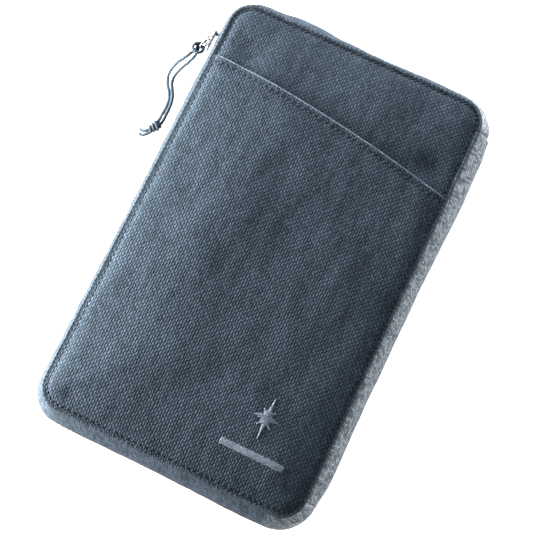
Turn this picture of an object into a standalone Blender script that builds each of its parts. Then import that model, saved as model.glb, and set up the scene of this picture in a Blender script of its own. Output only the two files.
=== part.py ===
"""Zip-round travel wallet, lying on its back and zipped shut.

X runs across the wallet with the spine at +X, Y runs up its height and Z points out of its front.
The origin is the middle of the underside. The wallet opens like a book: the spine folds out from
the back shell, and the front shell folds out from the spine.
"""

from math import cos, pi, radians, sin

import bmesh
import bpy
from mathutils import Matrix, Vector

MM = 0.001

# Driving dimensions, in millimetres.
WIDTH = 140.0
HEIGHT = 230.0
DEPTH = 26.0
CORNER_RADIUS = 13.0
GAP = 0.3

PIPING_RADIUS = 1.2
FABRIC = 1.1
BOARD = 1.1
LINING = 0.5
GUSSET_WALL = 0.8
GUSSET_TOP = 8.4
GUSSET_BULGE = 2.9

TAPE_WALL = 0.6
TAPE_TOP = 10.7
COIL_WALL = 2.0
COIL_BOTTOM = 11.0
COIL_TOP = 12.3

SPINE_HALF_LENGTH = 101.4
SPINE_BULGE = 1.0
HINGE_X = 71.0
HINGE_Z = 1.5

SLIDER_Y = 91.0
SLIDER_LENGTH = 12.0
SLIDER_WIDTH = 8.5
SLIDER_PLATE = 1.0
SLIDER_CLEARANCE = 0.5
BRIDGE_OPENING = 1.9
BRIDGE_WALL = 0.9
BRIDGE_SPAN = 5.6
BRIDGE_WIDTH = 2.2
RING_SHIFT = 0.5

RING_WIRE_RADIUS = 0.6
RING_HALF_WIDTH = 2.9
RING_LENGTH = 7.0
RING_ANGLE = radians(-113.0)

CORD_RADIUS = 0.9
CORD_REST_HEIGHT = 0.95
KNOT_CENTRE = Vector((-83.6, 39.2, 2.95))
KNOT_DIRECTION = Vector((0.55, 0.83, 0.0))
KNOT_LENGTH = 8.0
KNOT_RADIUS = 2.9

DOCUMENT_BOTTOM = 3.7
COIN_POCKET_BOTTOM = 4.5
CARD_SLOT_HALF_WIDTH = 52.0
CARD_SLOT_FOOT = -62.0
CARD_SLOT_TOP = 24.0
CARD_SLOT_STEP = 22.0

MOUTH_MIDDLE_Y = 71.0
MOUTH_BOW = 2.3
MOUTH_SLOPE = -0.141

STAR_CENTRE = (36.0, -75.0)
STAR_REACH = 10.5
BAR_BOX = (20.5, 53.5, -95.6, -91.4)

COIN_ZIP_Y = -11.0
COIN_ZIP_HALF_LENGTH = 60.0
COIN_SLIDER_X = -48.0
COIN_COIL_BOTTOM = 5.9
COIN_COIL_WALL = 1.3
COIN_BRIDGE_SPAN = 6.0
COIN_RING_LENGTH = 7.0
COIN_RING_HALF_WIDTH = 2.6

MIDDLE = DEPTH / 2
PANEL_INSET = 2 * PIPING_RADIUS + GAP

MODEL = "travel_wallet"
CUTTERS = "travel_wallet_cutters"


def clear_scene():
    for thing in list(bpy.data.objects):
        bpy.data.objects.remove(thing, do_unlink=True)


def new_collection(name):
    collection = bpy.data.collections.new(name)
    bpy.context.scene.collection.children.link(collection)
    return collection


def make_material(name, colour, roughness, metallic=0.0):
    material = bpy.data.materials.new(name)
    material.use_nodes = True
    shader = material.node_tree.nodes["Principled BSDF"]
    shader.inputs["Base Color"].default_value = (*colour, 1.0)
    shader.inputs["Roughness"].default_value = roughness
    shader.inputs["Metallic"].default_value = metallic
    return material


def make_materials():
    return {
        "coarse_fabric": make_material("coarse_fabric", (0.045, 0.062, 0.082), 0.9),
        "fine_fabric": make_material("fine_fabric", (0.15, 0.18, 0.21), 0.85),
        "piping": make_material("piping", (0.13, 0.16, 0.19), 0.8),
        "lining": make_material("lining", (0.10, 0.12, 0.14), 0.8),
        "board": make_material("board", (0.35, 0.36, 0.37), 0.9),
        "zip_tape": make_material("zip_tape", (0.04, 0.05, 0.065), 0.85),
        "zip_coil": make_material("zip_coil", (0.02, 0.025, 0.03), 0.4),
        "slider_metal": make_material("slider_metal", (0.75, 0.76, 0.78), 0.3, 1.0),
        "cord": make_material("cord", (0.03, 0.038, 0.048), 0.75),
        "thread": make_material("thread", (0.09, 0.115, 0.145), 0.6),
        "mesh_fabric": make_material("mesh_fabric", (0.05, 0.06, 0.07), 0.8),
    }


def arc(centre, radius, start, end, steps):
    """Points of an arc, from the start angle to the end angle, both included."""
    points = []
    for step in range(steps + 1):
        angle = start + (end - start) * step / steps
        points.append((centre[0] + radius * cos(angle), centre[1] + radius * sin(angle)))
    return points


def rim_outline(offset, steps=8):
    """The closed rounded rectangle of the rim, moved outwards by the offset, anticlockwise."""
    radius = CORNER_RADIUS + offset
    corner_x = WIDTH / 2 - CORNER_RADIUS
    corner_y = HEIGHT / 2 - CORNER_RADIUS
    points = []
    points += arc((corner_x, corner_y), radius, 0.0, pi / 2, steps)
    points += arc((-corner_x, corner_y), radius, pi / 2, pi, steps)
    points += arc((-corner_x, -corner_y), radius, pi, 3 * pi / 2, steps)
    points += arc((corner_x, -corner_y), radius, 3 * pi / 2, 2 * pi, steps)
    return points


def place(thing, material, collection):
    for owner in list(thing.users_collection):
        owner.objects.unlink(thing)
    collection.objects.link(thing)
    thing.data.materials.clear()
    thing.data.materials.append(material)
    return thing


def sheet(name, outline, bottom, top, material):
    """A flat piece of the outline's shape between two heights."""
    curve = bpy.data.curves.new(name, "CURVE")
    curve.dimensions = "2D"
    curve.fill_mode = "BOTH"
    curve.extrude = (top - bottom) / 2 * MM
    spline = curve.splines.new("POLY")
    spline.points.add(len(outline) - 1)
    for point, (x, y) in zip(spline.points, outline):
        point.co = (x * MM, y * MM, 0.0, 1.0)
    spline.use_cyclic_u = True
    thing = bpy.data.objects.new(name, curve)
    thing.location.z = (top + bottom) / 2 * MM
    return place(thing, material, model)


def rectangle(left, right, low, high, radius=1.5, steps=3):
    """A rounded rectangle's outline, anticlockwise."""
    points = []
    points += arc((right - radius, high - radius), radius, 0.0, pi / 2, steps)
    points += arc((left + radius, high - radius), radius, pi / 2, pi, steps)
    points += arc((left + radius, low + radius), radius, pi, 3 * pi / 2, steps)
    points += arc((right - radius, low + radius), radius, 3 * pi / 2, 2 * pi, steps)
    return points


def tube(name, points, radius, material, closed=False):
    """A round cord or wire along the points."""
    curve = bpy.data.curves.new(name, "CURVE")
    curve.dimensions = "3D"
    curve.bevel_depth = radius * MM
    curve.bevel_resolution = 2
    curve.use_fill_caps = not closed
    spline = curve.splines.new("POLY")
    spline.points.add(len(points) - 1)
    for point, place_mm in zip(spline.points, points):
        point.co = (place_mm[0] * MM, place_mm[1] * MM, place_mm[2] * MM, 1.0)
    spline.use_cyclic_u = closed
    thing = bpy.data.objects.new(name, curve)
    return place(thing, material, model)


def smooth_route(route, steps):
    """Points on one smooth curve through the route's own points, none under the resting height."""
    places = [Vector(point) for point in route]
    places = [2 * places[0] - places[1]] + places + [2 * places[-1] - places[-2]]
    points = []
    for index in range(1, len(places) - 2):
        before, start, end, after = places[index - 1 : index + 3]
        for step in range(steps):
            t = step / steps
            point = (
                2 * start
                + (end - before) * t
                + (2 * before - 5 * start + 4 * end - after) * t**2
                + (3 * start - before - 3 * end + after) * t**3
            ) / 2
            point.z = max(point.z, CORD_REST_HEIGHT)
            points.append(point)
    points.append(places[-2])
    return points


def strip(name, rows, wall, material):
    """A band whose rows of points run side by side, given its wall thickness."""
    shape = bmesh.new()
    grid = []
    for row in rows:
        grid.append([shape.verts.new(Vector(point) * MM) for point in row])
    for lower, upper in zip(grid, grid[1:]):
        for index in range(len(lower) - 1):
            shape.faces.new((lower[index], lower[index + 1], upper[index + 1], upper[index]))
    mesh = bpy.data.meshes.new(name)
    shape.to_mesh(mesh)
    shape.free()
    thing = bpy.data.objects.new(name, mesh)
    solidify = thing.modifiers.new("wall", "SOLIDIFY")
    solidify.thickness = wall * MM
    solidify.offset = 0.0
    return place(thing, material, model)


def zip_path(offset):
    """The three zipped sides: from the spine's top end round by the left to its bottom end."""
    outline = rim_outline(offset)
    end = (outline[0][0], SPINE_HALF_LENGTH + GAP)
    start = (outline[-1][0], -SPINE_HALF_LENGTH - GAP)
    return [end] + outline + [start]


def side_profile():
    """Offset and height of a side wall's middle line, from the piping up to the zip tape."""
    foot = 2 * PIPING_RADIUS + GAP
    rise = GUSSET_TOP - foot
    profile = []
    for part in (0.0, 0.3, 0.62, 1.0):
        bulge = -0.8 + (GUSSET_BULGE + 0.8) * sin(part * pi / 2)
        profile.append((bulge, foot + rise * part))
    return profile


def at_height(height, flipped):
    return DEPTH - height if flipped else height


def zipped_side(prefix, flipped, materials):
    """Gusset, zip tape and zip coil of one shell."""
    gusset_rows = []
    for offset, height in side_profile():
        z = at_height(height, flipped)
        gusset_rows.append([(x, y, z) for x, y in zip_path(offset)])
    strip(prefix + "_gusset", gusset_rows, GUSSET_WALL, materials["fine_fabric"])

    middle_line = zip_path(GUSSET_BULGE)
    bands = (
        ("_zip_tape", GUSSET_TOP + GAP, TAPE_TOP, TAPE_WALL, "zip_tape"),
        ("_zip_coil", COIL_BOTTOM, COIL_TOP, COIL_WALL, "zip_coil"),
    )
    for suffix, low, high, wall, material in bands:
        rows = []
        for height in (low, high):
            z = at_height(height, flipped)
            rows.append([(x, y, z) for x, y in middle_line])
        strip(prefix + suffix, rows, wall, materials[material])


def piping(prefix, flipped, materials):
    z = at_height(PIPING_RADIUS, flipped)
    path = [(x, y, z) for x, y in rim_outline(-PIPING_RADIUS)]
    tube(prefix + "_piping", path, PIPING_RADIUS, materials["piping"], closed=True)


def back_shell(materials):
    panel = rim_outline(-PANEL_INSET)
    inner = rim_outline(-PANEL_INSET - 1.0)
    board_bottom = FABRIC + GAP
    lining_bottom = board_bottom + BOARD + GAP
    sheet("back_panel", panel, 0.0, FABRIC, materials["coarse_fabric"])
    sheet("back_stiffener", inner, board_bottom, board_bottom + BOARD, materials["board"])
    sheet("back_lining", inner, lining_bottom, lining_bottom + LINING, materials["lining"])
    piping("back", False, materials)
    zipped_side("back", False, materials)


def organiser(materials):
    """The slip pocket for documents and the zipped coin pocket inside the back shell."""
    document = rectangle(-64.0, 64.0, -109.0, 60.0, 9.0)
    coin = rectangle(-62.0, 62.0, -107.0, COIN_ZIP_Y - 7.0, 8.0)
    document_top = DOCUMENT_BOTTOM + LINING
    coin_top = COIN_POCKET_BOTTOM + LINING
    sheet("document_pocket", document, DOCUMENT_BOTTOM, document_top, materials["lining"])
    sheet("coin_pocket", coin, COIN_POCKET_BOTTOM, coin_top, materials["mesh_fabric"])

    coil_bottom = COIN_COIL_BOTTOM
    tape_bottom = coil_bottom + (COIN_COIL_WALL - LINING) / 2
    for name, side in (("lower", -1), ("upper", 1)):
        tape_edges = sorted((COIN_ZIP_Y + side * 2.4, COIN_ZIP_Y + side * 6.6))
        coil_edges = sorted((COIN_ZIP_Y + side * 0.7, COIN_ZIP_Y + side * 2.1))
        tape = rectangle(-COIN_ZIP_HALF_LENGTH, COIN_ZIP_HALF_LENGTH, *tape_edges, 0.8)
        coil = rectangle(-COIN_ZIP_HALF_LENGTH, COIN_ZIP_HALF_LENGTH, *coil_edges, 0.5)
        sheet("coin_zip_tape_" + name, tape, tape_bottom, tape_bottom + LINING, materials["zip_tape"])
        sheet("coin_zip_coil_" + name, coil, coil_bottom, coil_bottom + COIN_COIL_WALL, materials["zip_coil"])


def pocket_outline(inset):
    """The front slip pocket: the panel's outline below a slanted, slightly bowed mouth."""
    half = WIDTH / 2 - inset
    lower = [point for point in rim_outline(-inset) if point[1] < 0.0]
    mouth = []
    for step in range(9):
        x = half - 2 * half * step / 8
        y = MOUTH_MIDDLE_Y + MOUTH_BOW * (1 - (x / half) ** 2) + MOUTH_SLOPE * x
        mouth.append((x, y))
    return mouth + lower


def front_shell(materials):
    panel = rim_outline(-PANEL_INSET)
    inner = rim_outline(-PANEL_INSET - 1.0)
    patch_bottom = DEPTH - LINING
    pocket_bottom = patch_bottom - GAP - FABRIC
    panel_bottom = pocket_bottom - GAP - FABRIC
    board_bottom = panel_bottom - GAP - BOARD
    lining_bottom = board_bottom - GAP - LINING
    sheet("front_panel", panel, panel_bottom, panel_bottom + FABRIC, materials["coarse_fabric"])
    pocket = pocket_outline(PANEL_INSET)
    sheet("slip_pocket", pocket, pocket_bottom, pocket_bottom + FABRIC, materials["coarse_fabric"])
    sheet("front_stiffener", inner, board_bottom, board_bottom + BOARD, materials["board"])
    sheet("front_lining", inner, lining_bottom, lining_bottom + LINING, materials["lining"])
    piping("front", True, materials)
    zipped_side("front", True, materials)

    for number in range(3):
        top = lining_bottom - GAP - number * (LINING + GAP)
        mouth = CARD_SLOT_TOP - CARD_SLOT_STEP * number
        slot = rectangle(-CARD_SLOT_HALF_WIDTH, CARD_SLOT_HALF_WIDTH, CARD_SLOT_FOOT, mouth, 3.0)
        sheet(f"card_slot_{number + 1}", slot, top - LINING, top, materials["lining"])
    emblem(patch_bottom, materials)


def emblem(bottom, materials):
    """An embroidered four-pointed star with a bar under it."""
    reaches = (STAR_REACH, 0.34 * STAR_REACH, 0.57 * STAR_REACH, 0.34 * STAR_REACH)
    points = []
    for index in range(16):
        angle = pi / 2 + index * pi / 8
        reach = reaches[index % 4]
        x = STAR_CENTRE[0] + 0.8 * reach * cos(angle)
        y = STAR_CENTRE[1] + reach * sin(angle)
        points.append((x, y))
    sheet("emblem_star", points, bottom, bottom + LINING, materials["thread"])
    bar = rectangle(*BAR_BOX, 2.0, 4)
    sheet("emblem_bar", bar, bottom, bottom + LINING, materials["thread"])


def spine(materials):
    """The strip that joins the two shells, and its lining."""
    foot = 2 * PIPING_RADIUS + GAP
    rise = DEPTH - 2 * foot
    rows = []
    for step in range(9):
        part = step / 8
        bulge = -0.8 + (SPINE_BULGE + 0.8) * sin(part * pi)
        x = WIDTH / 2 + bulge
        z = foot + rise * part
        rows.append([(x, side * SPINE_HALF_LENGTH, z) for side in (1, -1)])
    panel = strip("spine_panel", rows, GUSSET_WALL, materials["fine_fabric"])

    lining_x = WIDTH / 2 - 1.75
    lining_rows = []
    for z in (5.0, DEPTH - 5.0):
        lining_rows.append([(lining_x, side * (SPINE_HALF_LENGTH - 2.0), z) for side in (1, -1)])
    lining = strip("spine_lining", lining_rows, LINING, materials["lining"])
    return [panel, lining]


def box(size, centre):
    """A cutter-collection box, in the slider's own axes."""
    bpy.ops.mesh.primitive_cube_add(size=1.0, location=Vector(centre) * MM)
    thing = bpy.context.object
    thing.scale = Vector(size) * MM
    bpy.ops.object.transform_apply(location=True, rotation=False, scale=True)
    return thing


def slider_body(name, scale, bridge_span, coil_wall, matrix, materials):
    """Two plates, the post between them and the bridge that the pull hangs from, as one casting.

    X runs along the zip with the post at the nose, Z points out of the wallet, and the middle of
    the coils is at the origin.
    """
    length = SLIDER_LENGTH * scale
    width = SLIDER_WIDTH * scale
    plate = SLIDER_PLATE * scale
    inner_face = coil_wall / 2 + SLIDER_CLEARANCE
    plate_centre = inner_face + plate / 2
    post_length = 2.4 * scale
    nose = length / 2 - post_length / 2
    leg_top = inner_face + plate + BRIDGE_OPENING + BRIDGE_WALL
    leg_height = leg_top - inner_face - plate / 2
    leg_x = bridge_span / 2 - BRIDGE_WALL / 2
    leg_z = leg_top - leg_height / 2

    body = box((length, width, plate), (0, 0, plate_centre))
    body.name = name
    additions = [
        box((length, width, plate), (0, 0, -plate_centre)),
        box((post_length, 0.7, 2 * plate_centre), (nose, 0, 0)),
        box((BRIDGE_WALL, BRIDGE_WIDTH, leg_height), (leg_x, 0, leg_z)),
        box((BRIDGE_WALL, BRIDGE_WIDTH, leg_height), (-leg_x, 0, leg_z)),
        box((bridge_span, BRIDGE_WIDTH, BRIDGE_WALL), (0, 0, leg_top - BRIDGE_WALL / 2)),
    ]
    for index, addition in enumerate(additions):
        addition.name = f"{name}_add_{index}"
        place(addition, materials["slider_metal"], cutters)
        addition.matrix_world = matrix
        addition.hide_render = True
        addition.display_type = "WIRE"
        union = body.modifiers.new(f"join_{index}", "BOOLEAN")
        union.operation = "UNION"
        union.object = addition
    place(body, materials["slider_metal"], model)
    body.matrix_world = matrix
    return body


def turned(name, profile, materials, slot, matrix):
    """A round piece: the profile is radius and height, running down its outer side."""
    mesh = bpy.data.meshes.new(name)
    points = [(radius * MM, 0.0, height * MM) for radius, height in profile]
    edges = [(index, index + 1) for index in range(len(points) - 1)]
    if profile[0][0] > 0.0:
        edges.append((len(points) - 1, 0))
    mesh.from_pydata(points, edges, [])
    thing = bpy.data.objects.new(name, mesh)
    screw = thing.modifiers.new("turn", "SCREW")
    screw.steps = 16
    screw.render_steps = 16
    screw.use_merge_vertices = True
    screw.merge_threshold = 0.00001
    place(thing, materials[slot], model)
    thing.matrix_world = matrix
    return thing


def zip_slider(materials):
    """The main slider on the left side of the wallet, with its nose towards the top."""
    turn = Matrix(((0, 0, -1), (1, 0, 0), (0, -1, 0))).to_4x4()
    centre = Vector((-WIDTH / 2 - GUSSET_BULGE, SLIDER_Y, MIDDLE)) * MM
    matrix = Matrix.Translation(centre) @ turn
    return slider_body("slider_body", 1.0, BRIDGE_SPAN, COIL_WALL, matrix, materials)


def rounded_loop(length, half_width, radius, steps=3):
    """A wire ring's middle line: from the bar at the origin along X, its width along Y."""
    return rectangle(0.0, length, -half_width, half_width, radius, steps)


def pull(materials):
    """The wire ring on the bridge, and the knotted cord that is hitched round its far bar."""
    bar_offset = COIL_WALL / 2 + SLIDER_CLEARANCE + SLIDER_PLATE + BRIDGE_OPENING / 2
    pivot = Vector((-WIDTH / 2 - GUSSET_BULGE - bar_offset, SLIDER_Y + RING_SHIFT, MIDDLE))
    along = Vector((cos(RING_ANGLE), sin(RING_ANGLE), 0.0))
    across = Vector((0.0, 0.0, 1.0))
    ring_points = []
    for x, y in rounded_loop(RING_LENGTH, RING_HALF_WIDTH, 1.2):
        ring_points.append(pivot + along * x + across * y)
    ring = tube("pull_ring", ring_points, RING_WIRE_RADIUS, materials["slider_metal"], closed=True)

    far_bar = pivot + along * RING_LENGTH
    inner = RING_WIRE_RADIUS + GAP
    outer = inner + 2 * CORD_RADIUS
    half = RING_HALF_WIDTH - RING_WIRE_RADIUS - 2 * GAP
    hitch_profile = [(inner, half), (outer - 0.5, half), (outer, half - 0.5)]
    hitch_profile += [(outer, 0.5 - half), (outer - 0.5, -half), (inner, -half)]
    hitch_matrix = Matrix.Translation(far_bar * MM)
    hitch = turned("puller_hitch", hitch_profile, materials, "cord", hitch_matrix)

    low = CORD_REST_HEIGHT
    outer_route = (
        (-82.0, 81.0, 12.8),
        (-83.9, 77.8, 11.5),
        (-86.9, 74.5, 8.4),
        (-89.2, 70.6, 4.0),
        (-89.4, 66.9, 1.3),
        (-87.8, 63.4, low),
        (-85.3, 60.0, low),
        (-83.6, 56.2, low),
        (-83.0, 51.8, low),
        (-83.1, 47.6, low + 0.2),
        (-82.9, 44.4, low + 1.0),
    )
    inner_route = (
        (-79.5, 80.1, 12.4),
        (-81.4, 76.3, 10.4),
        (-84.1, 72.6, 7.2),
        (-86.0, 68.9, 3.9),
        (-86.1, 65.2, 2.5),
        (-84.2, 61.6, 2.4),
        (-82.2, 57.8, 2.4),
        (-81.2, 53.2, 2.4),
        (-81.0, 48.4, 2.4),
        (-80.8, 43.6, 2.9),
    )
    strand_a = tube("puller_cord_a", smooth_route(outer_route, 3), CORD_RADIUS, materials["cord"])
    strand_b = tube("puller_cord_b", smooth_route(inner_route, 3), CORD_RADIUS, materials["cord"])

    knot_turn = KNOT_DIRECTION.to_track_quat("Z", "Y").to_matrix().to_4x4()
    knot_profile = []
    for step in range(9):
        angle = pi / 2 - pi * step / 8
        radius = KNOT_RADIUS * cos(angle)
        height = KNOT_LENGTH / 2 * sin(angle)
        knot_profile.append((0.0 if step in (0, 8) else radius, height))
    knot_matrix = Matrix.Translation(KNOT_CENTRE * MM) @ knot_turn
    knot = turned("puller_knot", knot_profile, materials, "cord", knot_matrix)

    tail_routes = {
        "puller_tail_a": ((-87.1, 35.5, 1.9), (-88.4, 35.2, 1.4), (-90.0, 35.3, low)),
        "puller_tail_b": ((-86.6, 33.4, 1.4), (-87.8, 33.0, 1.1), (-89.2, 33.1, low)),
    }
    tails = []
    for name, route in tail_routes.items():
        tails.append(tube(name, smooth_route(route, 3), CORD_RADIUS, materials["cord"]))
    return pivot, [ring, hitch, strand_a, strand_b, knot] + tails


def coin_zip_slider(materials):
    """The small slider on the coin pocket, with a flat pull tab hooked on its bridge."""
    scale = 0.75
    centre = Vector((COIN_SLIDER_X, COIN_ZIP_Y, COIN_COIL_BOTTOM + COIN_COIL_WALL / 2))
    matrix = Matrix.Translation(centre * MM)
    body = slider_body("coin_slider_body", scale, COIN_BRIDGE_SPAN, COIN_COIL_WALL, matrix, materials)

    plate_top = COIN_COIL_WALL / 2 + SLIDER_CLEARANCE + SLIDER_PLATE * scale
    bar_height = plate_top + BRIDGE_OPENING / 2
    pivot = centre + Vector((-1.1, 0.0, bar_height))
    ring_points = []
    for x, y in rounded_loop(COIN_RING_LENGTH, COIN_RING_HALF_WIDTH, 1.2):
        ring_points.append(pivot + Vector((-x, y, 0.0)))
    tab = tube("coin_pull_ring", ring_points, RING_WIRE_RADIUS, materials["slider_metal"], closed=True)
    return centre, body, pivot, tab


def hang_on(name, pivot, things, parent=None):
    """Parents the pieces to an empty on their joint's axis, without moving them."""
    axis = bpy.data.objects.new(name, None)
    axis.empty_display_size = 0.01
    model.objects.link(axis)
    axis.location = Vector(pivot) * MM
    if parent:
        axis.parent = parent
        axis.location = (Vector(pivot) * MM) - parent.matrix_world.translation
    bpy.context.view_layer.update()
    for thing in things:
        thing.parent = axis
        thing.matrix_parent_inverse = axis.matrix_world.inverted()
    return axis


clear_scene()
model = new_collection(MODEL)
cutters = new_collection(CUTTERS)
finishes = make_materials()

back_shell(finishes)
organiser(finishes)
back_pieces = list(model.objects)
front_shell(finishes)
front_pieces = [thing for thing in model.objects if thing not in back_pieces]
spine_pieces = spine(finishes)
main_slider = zip_slider(finishes)
pull_pivot, pull_pieces = pull(finishes)
coin_centre, coin_slider, coin_pivot, coin_pull = coin_zip_slider(finishes)

spine_axis = hang_on("spine_axis", (HINGE_X, 0.0, HINGE_Z), spine_pieces)
hang_on("cover_axis", (HINGE_X, 0.0, DEPTH - HINGE_Z), front_pieces, spine_axis)
slider_place = (-WIDTH / 2 - GUSSET_BULGE, SLIDER_Y, MIDDLE)
slider_axis = hang_on("slider_axis", slider_place, [main_slider])
hang_on("pull_axis", pull_pivot, pull_pieces, slider_axis)
coin_axis = hang_on("coin_slider_axis", coin_centre, [coin_slider])
hang_on("coin_pull_axis", coin_pivot, [coin_pull], coin_axis)
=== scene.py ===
"""The looks of a zip-round travel wallet that lies shut on its back, unzipped only at its top.

X runs across the wallet with the spine at +X, Y runs up its height and Z points out of its front.
Sizes and places are in millimetres and become metres where a mesh is made.
"""

from math import ceil, cos, exp, hypot, pi, radians, sin, sqrt

import bmesh
import bpy
from mathutils import Matrix, Vector, noise


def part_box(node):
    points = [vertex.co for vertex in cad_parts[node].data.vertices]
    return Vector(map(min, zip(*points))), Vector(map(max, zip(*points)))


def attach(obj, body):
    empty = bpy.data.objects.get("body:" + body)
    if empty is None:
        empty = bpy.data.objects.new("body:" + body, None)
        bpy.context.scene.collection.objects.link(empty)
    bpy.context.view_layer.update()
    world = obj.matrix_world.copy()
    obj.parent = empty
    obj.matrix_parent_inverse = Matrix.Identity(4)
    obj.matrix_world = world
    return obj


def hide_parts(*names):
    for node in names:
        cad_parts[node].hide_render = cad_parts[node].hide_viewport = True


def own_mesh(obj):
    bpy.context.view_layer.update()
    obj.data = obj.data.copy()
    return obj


MM = 0.001
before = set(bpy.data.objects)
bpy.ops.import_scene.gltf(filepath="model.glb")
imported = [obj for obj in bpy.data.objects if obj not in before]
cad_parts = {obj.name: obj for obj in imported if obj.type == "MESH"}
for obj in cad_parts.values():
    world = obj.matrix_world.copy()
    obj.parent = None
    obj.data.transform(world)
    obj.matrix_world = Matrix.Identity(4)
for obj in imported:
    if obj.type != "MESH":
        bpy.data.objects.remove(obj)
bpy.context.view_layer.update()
bpy.ops.object.select_all(action="DESELECT")
scene = bpy.context.scene


def node_box(node):
    low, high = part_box(node)
    return low / MM, high / MM


rim_high = node_box("front_piping")[1]
tape_high = node_box("front_zip_tape")[1]
slider_low, slider_high = node_box("slider_body")
coin_low, coin_high = node_box("coin_slider_body")

HALF_WIDTH = rim_high.x
HALF_HEIGHT = rim_high.y
DEPTH = rim_high.z
MIDDLE = DEPTH / 2
CORNER_RADIUS = 13.0
TAPE_OFFSET = tape_high.y - HALF_HEIGHT - 0.3
SPINE_HALF = node_box("spine_panel")[1].y
RIM_RADIUS = 0.92
SLIDER_MIDDLE_Y = (slider_low.y + slider_high.y) / 2

PANEL_INSET = 1.5
PANEL_HALF = (HALF_WIDTH - PANEL_INSET, HALF_HEIGHT - PANEL_INSET)
PANEL_RADIUS = CORNER_RADIUS - PANEL_INSET
# Width of the fine rows along an edge, their spacing and the spacing inside them.
FACE_SPACING = (6.0, 0.6, 1.5)
INNER_SPACING = (3.0, 1.0, 3.0)
GROOVE_INSET = 2.9
GROOVE_DEPTH = 0.8
EDGE_ROUND = 1.9
BODY_ROUND = 27.0

MOUTH_MIDDLE_Y = 71.0
MOUTH_BOW = 2.3
MOUTH_SLOPE = -0.141
POCKET_LIFT = 0.95

# How far apart stitches start along a row.
STITCH_PITCH = 3.2


# ---- camera and light


def make_camera():
    """A long lens over the wallet's middle, turned and tilted a little off square."""
    turn = Matrix.Rotation(radians(-26.19), 3, "Z")
    turn = turn @ Matrix.Rotation(radians(-11.55), 3, "X") @ Matrix.Rotation(radians(-5.50), 3, "Y")
    away = Vector((-0.06, -7.84, 700.0))
    place = Vector((0.0, 0.0, DEPTH)) + turn.transposed() @ away
    camera = bpy.data.objects.new("camera", bpy.data.cameras.new("camera"))
    camera.data.sensor_width = 36.0
    camera.data.lens = 96.2
    camera.data.clip_start = 0.01
    camera.matrix_world = Matrix.Translation(place * MM) @ turn.transposed().to_4x4()
    scene.collection.objects.link(camera)
    scene.camera = camera


def area_light(name, place, size, power, colour=(1.0, 1.0, 1.0)):
    light = bpy.data.lights.new(name, "AREA")
    light.shape = "RECTANGLE"
    light.size = size[0]
    light.size_y = size[1]
    light.energy = power
    light.color = colour
    thing = bpy.data.objects.new(name, light)
    thing.location = place
    thing.rotation_euler = (-Vector(place)).to_track_quat("-Z", "Y").to_euler()
    scene.collection.objects.link(thing)


def make_studio():
    """A pale light table under a low key from the left, with soft light from all round."""
    bpy.ops.mesh.primitive_plane_add(size=6.0, location=(0.0, 0.0, -0.0002))
    floor = bpy.context.object
    floor.name = "floor"
    paper = bpy.data.materials.new("paper")
    paper.use_nodes = True
    shader = paper.node_tree.nodes["Principled BSDF"]
    shader.inputs["Base Color"].default_value = (0.9, 0.9, 0.9, 1)
    shader.inputs["Roughness"].default_value = 0.9
    shader.inputs["Emission Color"].default_value = (1, 1, 1, 1)
    shader.inputs["Emission Strength"].default_value = 0.68
    floor.data.materials.append(paper)
    floor.select_set(False)

    area_light("key", (-0.33, -0.07, 0.082), (0.40, 0.08), 20.0, (1.0, 0.97, 0.93))
    area_light("rear", (-0.02, 0.42, 0.13), (0.50, 0.12), 6.5)
    area_light("edge", (0.60, -0.10, 0.12), (0.5, 0.16), 2.0)
    area_light("top", (-0.3, 0.75, 0.75), (1.6, 1.6), 5.5)

    world = bpy.data.worlds.new("studio")
    world.use_nodes = True
    background = world.node_tree.nodes["Background"]
    background.inputs["Color"].default_value = (0.94, 0.98, 1.0, 1.0)
    background.inputs["Strength"].default_value = 0.4
    scene.world = world
    scene.view_settings.view_transform = "Standard"


# ---- finishes


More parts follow.
